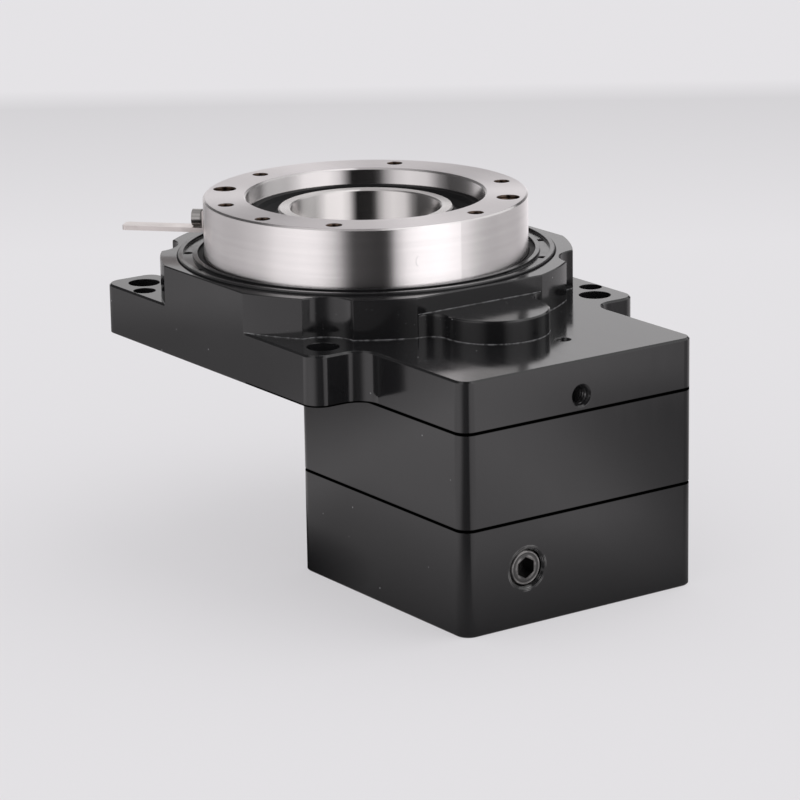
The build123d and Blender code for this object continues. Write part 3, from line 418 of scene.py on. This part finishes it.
def scratch_line(g, place, scratch):
    """1 on a thin arc, open to one side, on the turntable's outer wall."""
    along = g.product(g.minus(g.math("ARCTAN2", place[1], place[0]), scratch.angle), TABLE_RADIUS)
    up = g.minus(place[2], scratch.height)
    arc = g.ramp(g.apart(g.length(along, up), scratch.size), 0.09 * MM, 0.04 * MM)
    on_wall = g.above(g.length(place[0], place[1]), TABLE_RADIUS * 0.98)
    return g.product(arc, g.below(along, scratch.size * -0.6), on_wall)


def lean_walls(g, normal, place, walls):
    """Tilt the walls' normals upward, by the slope of a bump that grows with the depth below the top."""
    radius = g.length(place[0], place[1])
    inner, outer = walls.radius - 0.5 * MM, walls.radius + 0.5 * MM
    amount = g.ramp(radius, inner, outer, -walls.inside, -walls.outside)
    lean = g.node("ShaderNodeBump")
    lean.inputs["Strength"].default_value = 1.0
    lean.inputs["Distance"].default_value = 1.0
    g.link(normal, lean.inputs["Normal"])
    g.link(g.product(g.minus(place[2], walls.top), amount), lean.inputs["Height"])
    g.set("Normal", lean.outputs[0])


def turned_steel(name, colour, rough, axis=TABLE_AXIS, rings=6000.0, strength=0.05, edge=0.0, walls=None,
                 face=None, threads=False, scratch=None):
    """Ground or turned steel: rings round the axis in roughness, tone and bump. walls is its Walls, with
    painted shade on the inside walls. face is the tone of its flat top, a painted shade that dims what the
    top mirrors.
    threads paints shade in the turntable's holes, with painted highlights on the thread crests."""
    g = Surface(name)
    where = g.object_coordinates()
    place = g.split(where)
    path = g.lathe(where, axis, 0.6 * MM)
    line = g.noise(path, rings, 2.0, 0.5)
    wide = g.noise(path, rings / 9, 2.0)
    cloud = g.noise(where, 60.0, 3.0)
    tone = g.mix(g.ramp(wide, 0.3, 0.7), shade(colour, 0.965), shade(colour, 1.02))
    ringed = g.ramp(line, 0.25, 0.75, rough * 0.93, rough * 1.08)
    roughness = g.sum(ringed, g.ramp(cloud, 0.3, 0.7, -0.01, 0.015))
    if walls:
        within = g.below(g.length(place[0], place[1]), walls.radius)
        under_face = g.below(place[2], walls.top - FACE_DEPTH)
        # Painted shade: the inside walls are darker
        tone = g.mix(within, tone, shade(colour, INNER_WALL_PAINTED_SHADE))
        roughness = g.minus(roughness, g.product(within, under_face, walls.polish))
    # Painted shade in the holes, with painted highlights on the thread crests
    if threads:
        share, painted_thread = hole_threads(g, place, walls.top)
        tone = g.mix(share, tone, painted_thread)
        roughness = g.sum(roughness, g.product(share, 0.25))
    if scratch:
        tone = g.mix(g.product(scratch_line(g, place, scratch), 0.3), tone, SCRATCH_TONE)
    # Painted shade: a darker tone on the flat top that dims what it mirrors
    if face:
        flat = g.above(place[2], walls.top - FACE_DEPTH)
        tone = g.mix(flat, tone, face)
        roughness = g.sum(roughness, g.product(flat, 0.08))
    g.set("Base Color", tone)
    g.set("Roughness", roughness)
    g.set("Metallic", 1.0)
    g.set("Anisotropic", 0.97)
    g.set("Anisotropic Rotation", 0.25)
    fine = g.bump(line, strength, 0.01 * MM, edge)
    if walls:
        lean_walls(g, fine, place, walls)
    return g.material


def plain_steel(name, colour, rough, scale=1800.0):
    """Machined or blackened steel with fine grain and a little staining."""
    g = Surface(name)
    where = g.object_coordinates()
    grain = g.noise(where, scale, 3.0, 0.6)
    cloud = g.noise(where, 150.0, 3.0)
    g.set("Base Color", g.mix(cloud, shade(colour, 0.8), shade(colour, 1.15)))
    g.set("Roughness", g.ramp(grain, 0.3, 0.7, rough * 0.8, rough * 1.3))
    g.set("Metallic", 1.0)
    g.bump(grain, 0.1, 0.02 * MM)
    return g.material


def plug_steel(name, centre):
    """A black grub screw seen end on: turned rings, worn bright along its rim and its socket's edge."""
    g = Surface(name)
    where = g.object_coordinates()
    place = g.split(where)
    radius = g.length(g.minus(place[1], centre.y), g.minus(place[2], centre.z))
    rings = g.noise(g.join(radius), 3500.0, 2.0)
    patches = g.noise(where, 330.0, 3.0)
    rim = g.ramp(g.apart(radius, PLUG_RIM_RADIUS), 0.3 * MM, 0.1 * MM)
    socket_edge = g.ramp(g.apart(radius, PLUG_SOCKET_RADIUS), 0.35 * MM, 0.1 * MM)
    worn_rim = g.product(rim, g.ramp(patches, 0.36, 0.6, 0.1, 1.0))
    worn_socket = g.product(socket_edge, g.ramp(patches, 0.45, 0.62, 0.0, 0.8))
    worn = g.product(g.math("MAXIMUM", worn_rim, worn_socket), g.above(place[0], END_X - 1.2 * MM))
    base = g.mix(rings, grey(0.05), (0.17, 0.168, 0.165, 1))
    g.set("Base Color", g.mix(worn, base, (0.5, 0.49, 0.48, 1)))
    g.set("Roughness", g.ramp(rings, 0.3, 0.7, 0.22, 0.42))
    g.set("Metallic", 1.0)
    g.bump(rings, 0.6, 0.12 * MM)
    return g.material


def rubber(name, colour, rough):
    """Moulded rubber with a fine mat grain."""
    g = Surface(name)
    where = g.object_coordinates()
    cloud = g.noise(where, 200.0, 3.0)
    g.set("Base Color", g.mix(cloud, shade(colour, 0.7), shade(colour, 1.4)))
    g.set("Roughness", g.ramp(cloud, 0.3, 0.7, rough * 0.9, rough * 1.1))
    g.set("Specular IOR Level", 0.08)
    g.bump(g.noise(where, 3000.0, 2.0), 0.15, 0.03 * MM)
    return g.material


# ---------------------------------------------------------------- finish of each CAD node
black = anodised("black_anodised", 0.012, 0.11, 0.04, seams=(UPPER_SEAM, LOWER_SEAM))
lower_black = anodised("lower_anodised", 0.012, 0.11, 0.04, seams=(LOWER_SEAM,), plug_mouth=True)
housing_black = anodised("housing_anodised", 0.012, 0.11, 0.04, seams=(UPPER_SEAM,), corners=True)
port_black = anodised("port_anodised", 0.015, 0.16, 0.0, edge=0.0, ior=2.0)
lock_black = anodised("lock_ring_black", 0.014, 0.18, 0.03)
# The face tones below are painted shade on the flat tops of the turntable and the sleeve
table_steel = turned_steel(
    "table_steel", (0.84, 0.81, 0.81), 0.22, edge=0.1 * MM,
    walls=Walls(inside=0.42, outside=0.2, radius=31.0 * MM, top=TABLE_TOP, polish=0.08),
    face=(0.62, 0.59, 0.595, 1), threads=True,
    scratch=Scratch(CAMERA_AZIMUTH + math.radians(19.7), TABLE_TOP - 7.5 * MM, 1.4 * MM),
)
sleeve_steel = turned_steel(
    "sleeve_steel", (0.84, 0.81, 0.80), 0.18, rings=2500.0, strength=0.02,
    walls=Walls(inside=0.42, outside=0.42, radius=30.0 * MM, top=SLEEVE_TOP, polish=0.03),
    face=(0.6, 0.58, 0.57, 1),
)
gear_steel = turned_steel("gear_steel", (0.45, 0.45, 0.46), 0.32, rings=5000.0)
pinion_steel = turned_steel("pinion_steel", (0.45, 0.45, 0.46), 0.3, PINION_AXIS, 5000.0)
race_steel = turned_steel("race_steel", (0.66, 0.66, 0.68), 0.2)
pinion_race_steel = turned_steel("pinion_race_steel", (0.66, 0.66, 0.68), 0.2, PINION_AXIS)
ball_steel = plain_steel("ball_steel", (0.75, 0.75, 0.77), 0.1)
black_screw = plain_steel("black_screw", (0.09, 0.09, 0.095), 0.35)
plug_black = plug_steel("plug_black", PLUG_CENTRE)
bright_screw = plain_steel("bright_screw", (0.38, 0.37, 0.36), 0.16, 900.0)
dark_washer = plain_steel("dark_washer", (0.2, 0.19, 0.185), 0.3)
dog_steel = plain_steel("dog_steel", (0.77, 0.72, 0.70), 0.34, 260.0)
seal_rubber = rubber("seal_rubber", (0.01, 0.01, 0.0105), 0.5)

FINISH = {
    "housing": housing_black,
    "upper_motor_block": black,
    "lower_motor_block": lower_black,
    "lock_ring": lock_black,
    "turntable": table_steel,
    "center_sleeve": sleeve_steel,
    "ring_gear": gear_steel,
    "pinion_shaft": pinion_steel,
    "bearing_inner_ring": race_steel,
    "bearing_outer_lower": race_steel,
    "bearing_outer_upper": race_steel,
    "bearing_rollers": ball_steel,
    "upper_inner_race": pinion_race_steel,
    "upper_outer_race": pinion_race_steel,
    "lower_inner_race": pinion_race_steel,
    "lower_outer_race": pinion_race_steel,
    "upper_balls": ball_steel,
    "lower_balls": ball_steel,
    "gear_dowels": ball_steel,
    "bearing_circlip": black_screw,
    "sleeve_screws": black_screw,
    "corner_screws": black_screw,
    "floor_screws": black_screw,
    "flange_screws": black_screw,
    "gear_screws": black_screw,
    "clamp_screw": black_screw,
    "access_plug": plug_black,
    "sensor_dog": dog_steel,
    "dog_washer": dark_washer,
    "dog_screw": bright_screw,
    "inner_seal": seal_rubber,
    "wiper_seal": seal_rubber,
    "pinion_seal": seal_rubber,
}


def dress_nodes():
    for name, material in FINISH.items():
        slots = nodes[name].data.materials
        slots.clear()
        slots.append(material)


# ---------------------------------------------------------------- threads in the ports
THREAD_SIDES = 48
ROWS_PER_TURN = 8
THREAD_FLANK = 2.4
LINER_RIM = 0.01 * MM


def thread_liner(name, mount, crest, root, pitch, depth, material):
    """The thread on a tapped hole's wall: an open tube that follows the helix, with a rim at its far end."""
    mouth_centre = Vector(MOUNTS[mount]["pos_m"])
    outward = Vector(MOUNTS[mount]["axis"])
    side = outward.orthogonal().normalized()
    other = outward.cross(side)
    rows = int(depth / pitch * ROWS_PER_TURN)
    step = pitch / ROWS_PER_TURN
    mesh = bmesh.new()
    rings = []
    for j in range(rows + 1):
        centre = mouth_centre - outward * (pitch * 0.5 + j * step)
        run_in = max(0.0, 1.0 - j / ROWS_PER_TURN)
        ring = []
        for i in range(THREAD_SIDES):
            turn = i / THREAD_SIDES
            phase = (j / ROWS_PER_TURN - turn) % 1.0
            flank = min(1.0, abs(phase - 0.5) * THREAD_FLANK)
            radius = crest + (root - crest) * max(flank, run_in)
            angle = 2 * math.pi * turn
            outwards = side * math.cos(angle) + other * math.sin(angle)
            ring.append(mesh.verts.new(centre + outwards * radius))
        rings.append(ring)
    rings.append([mesh.verts.new(v.co + (v.co - centre).normalized() * LINER_RIM) for v in rings[-1]])
    for a, b in zip(rings, rings[1:]):
        for i in range(THREAD_SIDES):
            k = (i + 1) % THREAD_SIDES
            mesh.faces.new((a[i], b[i], b[k], a[k]))
    for face in mesh.faces:
        face.smooth = True
    bmesh.ops.recalc_face_normals(mesh, faces=mesh.faces)
    bmesh.ops.reverse_faces(mesh, faces=mesh.faces)
    data = bpy.data.meshes.new(name)
    mesh.to_mesh(data)
    mesh.free()
    data.materials.append(material)
    liner = bpy.data.objects.new(name, data)
    bpy.context.scene.collection.objects.link(liner)
    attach(liner, "base")


# ---------------------------------------------------------------- studio
# What metal and gloss see of the studio, as pairs of the angle in degrees round the object from the camera's
# first place and the brightness there: soft white walls, a dark gap where the photographer stands, and a
# brighter softbox to the right of it. PAPER is the table's sheet near the object and PAPER_FAR from some
# 25 cm on, WALLS the space at the horizon, UPPER the space above it.
PAPER = [
    (-180, 1.05), (-160, 0.45), (-150, 0.25), (-112, 0.3), (-95, 0.4), (-89, 0.6), (-82, 0.95), (-70, 0.9),
    (-60, 0.85), (-48, 1.0), (-30, 1.0), (-22, 0.75), (-14, 0.35), (-7, 0.14), (14, 0.08), (17, 0.18),
    (20, 0.8), (32, 1.0), (44, 1.0), (52, 1.2), (57, 1.0), (61, 0.6), (66, 0.35), (72, 0.28), (92, 0.3),
    (105, 0.6), (130, 0.62), (155, 0.9), (180, 1.05),
]
PAPER_FAR = [
    (-180, 1.05), (-160, 0.5), (-150, 0.3), (-112, 0.5), (-104, 0.68), (-96, 0.75), (-86, 0.95), (-70, 0.9),
    (-50, 0.85), (-35, 0.85), (-22, 0.65), (-14, 0.32), (-7, 0.14), (14, 0.08), (17, 0.18), (20, 0.8),
    (32, 1.0), (44, 1.0), (52, 1.2), (62, 1.1), (67, 0.85), (74, 0.45), (92, 0.3), (105, 0.6), (130, 0.62),
    (155, 0.9), (180, 1.05),
]
WALLS = [
    (-180, 1.05), (-168, 0.75), (-144, 1.15), (-105, 0.72), (-85, 0.9), (-66, 1.15), (-50, 1.35), (-34, 1.5),
    (-24, 1.3), (-17, 0.95), (-13, 0.4), (-9, 0.1), (15, 0.03), (18, 0.1), (20, 0.85), (31, 1.6), (50, 1.85),
    (66, 1.65), (80, 1.25), (90, 1.0), (105, 0.62), (127, 0.55), (155, 0.42), (168, 0.9), (174, 1.3),
    (180, 1.25),
]
UPPER = [
    (-180, 1.3), (-173, 1.0), (-164, 0.3), (-150, 0.12), (-92, 0.1), (-80, 0.4), (-66, 1.25), (-45, 1.4),
    (-32, 1.15), (-22, 0.62), (-15, 0.12), (-9, 0.03), (15, 0.02), (20, 0.4), (28, 1.3), (40, 1.75),
    (66, 1.6), (76, 1.0), (88, 0.25), (105, 0.06), (155, 0.1), (166, 0.55), (173, 1.3), (180, 1.3),
]
BRIGHTNESS_SPAN = 2.0
CEILING = 0.8

# Where the walls pass into the upper space, and that into the ceiling, as the vertical part of a direction
UPPER_FROM, UPPER_TO = 0.13, 0.2
CEILING_FROM, CEILING_TO = 0.75, 0.93

# A dark hood over the camera: where it hangs, how wide it is and how dark
HOOD_AZIMUTH = CAMERA_AZIMUTH + math.radians(22)
HOOD_HEIGHT = math.radians(70)
HOOD_EDGE = math.radians(26)
HOOD_CORE = math.radians(18)
HOOD_BRIGHTNESS = 0.04

WORLD_LIGHT = 0.78
WORLD_TONE = (0.985, 0.98, 1.0, 1)
MIRRORED_TONE = (0.8, 0.784, 0.792, 1)

# The key light: one broad soft sun from the right and behind
KEY_AZIMUTH = CAMERA_AZIMUTH + math.radians(115)
KEY_HEIGHT = math.radians(48)
KEY_WIDTH = math.radians(70)
KEY_LIGHT = 0.8

# The sheet of paper on the table: its half width, its colours, and where painted shade darkens its far part
# and painted light brightens it past a fold
FLOOR_REACH = 2.5
PAPER_DARK = (0.795, 0.788, 0.80, 1)
PAPER_LIGHT = (0.80, 0.793, 0.805, 1)
PALE_TONE = (0.78, 0.765, 0.785, 1)
PALE_SHARE = 0.6
REFLECTED_TONE = (1.0, 0.965, 0.985, 1)
FADE_FROM, FADE_TO, FADE_LEVEL = 0.27, 0.49, 0.86
FOLD_END, FOLD_RISE = 0.525, 0.15

# In reflections the sheet is even near the table's axis, and passes into PAPER and then into PAPER_FAR
EVEN_GLOW = 0.85
PAPER_FROM, PAPER_TO = 0.07, 0.14
FAR_FROM, FAR_TO = 0.225, 0.26


def brightness(g, angle, table):
    """Brightness from one of these tables, at an angle in radians round the object."""
    turn = g.math("WRAP", g.minus(angle, CAMERA_AZIMUTH), math.pi, -math.pi)
    curve = g.node("ShaderNodeFloatCurve")
    points = curve.mapping.curves[0].points
    points[0].location = (0.0, table[0][1] / BRIGHTNESS_SPAN)
    points[1].location = (1.0, table[-1][1] / BRIGHTNESS_SPAN)
    for degrees, value in table[1:-1]:
        points.new((degrees + 180) / 360, value / BRIGHTNESS_SPAN)
    for point in points:
        point.handle_type = "VECTOR"
    curve.mapping.update()
    g.link(g.ramp(turn, -math.pi, math.pi), curve.inputs["Value"])
    return g.product(curve.outputs[0], BRIGHTNESS_SPAN)


def paper_glow(g, x, y):
    """The sheet's brightness in reflections: the studio's two sides, and darker beside the motor block."""
    angle = g.math("ARCTAN2", y, x)
    reach = g.length(x, y)
    away = g.ramp(reach, FAR_FROM, FAR_TO)
    glow = g.mix_numbers(away, brightness(g, angle, PAPER), brightness(g, angle, PAPER_FAR))
    glow = g.mix_numbers(g.ramp(reach, PAPER_FROM, PAPER_TO), EVEN_GLOW, glow)
    # Painted shadow: the mirrored sheet is darker beside the motor block and under the table
    beside = g.math("MAXIMUM", g.apart(x, PINION_X), g.math("ABSOLUTE", y))
    near = g.product(g.ramp(beside, 0.030, 0.08, 0.3, 1.0), g.ramp(beside, 0.06, 0.2, 0.75, 1.0))
    under = g.ramp(reach, 0.035, 0.05, 0.05, 1.0)
    return g.product(glow, near, under)


def emission(g, strength, tone):
    item = g.node("ShaderNodeEmission")
    item.inputs["Color"].default_value = tone
    g.link(strength, item.inputs["Strength"])
    return item.outputs[0]


def floor_material():
    """White paper. Painted shade darkens its far part towards a fold and painted light is paler beyond it,
    as at a table sheet's edge.
    """
    g = Surface("floor_paper")
    where = g.object_coordinates()
    x, y, _ = g.split(where)
    behind = -direction(CAMERA_AZIMUTH, 0.0)
    depth = g.sum(g.product(x, behind.x), g.product(y, behind.y))
    # Painted shade on the far part of the sheet, and painted light beyond its fold
    fade = g.ramp(depth, FADE_FROM, FADE_TO, 1.0, FADE_LEVEL)
    level = g.sum(fade, g.ramp(depth, FADE_TO, FOLD_END, 0.0, FOLD_RISE))
    paper = g.mix(g.noise(where, 3.0, 2.0), PAPER_DARK, PAPER_LIGHT)
    g.set("Base Color", g.mix(1.0, paper, g.join(level, level, level), "MULTIPLY"))
    g.set("Roughness", 0.8)
    g.set("Specular IOR Level", 0.0)
    rays = g.node("ShaderNodeLightPath").outputs
    # The camera sees the sheet partly by its own paleness, so the shadow on it stays faint
    pale = emission(g, level, PALE_TONE)
    seen = g.mix_shaders(g.product(rays["Is Camera Ray"], PALE_SHARE), g.shader.outputs[0], pale)
    # What gloss mirrors of the sheet is its own glow, a painted reflection with painted shadow near the
    # object
    reflected = emission(g, paper_glow(g, x, y), REFLECTED_TONE)
    g.link(g.mix_shaders(rays["Is Glossy Ray"], seen, reflected), g.output.inputs["Surface"])
    return g.material


def make_floor():
    reach = FLOOR_REACH
    corners = [(-reach, -reach), (reach, -reach), (reach, reach), (-reach, reach)]
    mesh = bpy.data.meshes.new("floor")
    mesh.from_pydata([(x, y, FLOOR_Z) for x, y in corners], [], [(0, 1, 2, 3)])
    floor = bpy.data.objects.new("floor", mesh)
    bpy.context.scene.collection.objects.link(floor)
    mesh.materials.append(floor_material())


def make_world():
    """Plain light on what is mat, and the studio's walls, ceiling and hood in what is glossy."""
    world = bpy.data.worlds.new("studio")
    bpy.context.scene.world = world
    world.use_nodes = True
    g = Graph(world.node_tree)
    plain = g.tree.nodes["Background"]
    plain.inputs["Color"].default_value = WORLD_TONE
    plain.inputs["Strength"].default_value = WORLD_LIGHT
    towards = g.node("ShaderNodeTexCoord").outputs["Generated"]
    x, y, z = g.split(towards)
    angle = g.math("ARCTAN2", y, x)
    walls = brightness(g, angle, WALLS)
    upper = brightness(g, angle, UPPER)
    level = g.mix_numbers(g.ramp(z, UPPER_FROM, UPPER_TO, smooth=True), walls, upper)
    level = g.mix_numbers(g.ramp(z, CEILING_FROM, CEILING_TO, smooth=True), level, CEILING)
    hood = g.node("ShaderNodeVectorMath")
    hood.operation = "DOT_PRODUCT"
    g.link(towards, hood.inputs[0])
    hood.inputs[1].default_value = direction(HOOD_AZIMUTH, HOOD_HEIGHT)
    covered = g.ramp(hood.outputs["Value"], math.cos(HOOD_EDGE), math.cos(HOOD_CORE), smooth=True)
    level = g.mix_numbers(covered, level, HOOD_BRIGHTNESS)
    mirrored = g.node("ShaderNodeBackground")
    mirrored.inputs["Color"].default_value = MIRRORED_TONE
    g.link(level, mirrored.inputs["Strength"])
    rays = g.node("ShaderNodeLightPath").outputs
    choice = g.mix_shaders(rays["Is Glossy Ray"], plain.outputs[0], mirrored.outputs[0])
    g.link(choice, g.tree.nodes["World Output"].inputs["Surface"])


def make_key_light():
    """The key gives the faint shadow to the left. What is glossy mirrors the studio instead of it."""
    data = bpy.data.lights.new("key", "SUN")
    data.energy = KEY_LIGHT
    data.angle = KEY_WIDTH
    data.specular_factor = 0.0
    lamp = bpy.data.objects.new("key", data)
    bpy.context.scene.collection.objects.link(lamp)
    lamp.rotation_euler = direction(KEY_AZIMUTH, KEY_HEIGHT).to_track_quat("Z", "Y").to_euler()


# ---------------------------------------------------------------- scene
make_camera()
dress_nodes()
thread_liner("side_port_thread", "side_port", 1.78 * MM, 2.09 * MM, 0.8 * MM, 8.0 * MM, port_black)
thread_liner("top_port_thread", "top_port", 1.27 * MM, 1.49 * MM, 0.5 * MM, 5.0 * MM, black)
make_floor()
make_world()
make_key_light()
bpy.context.scene.view_settings.view_transform = "Standard"
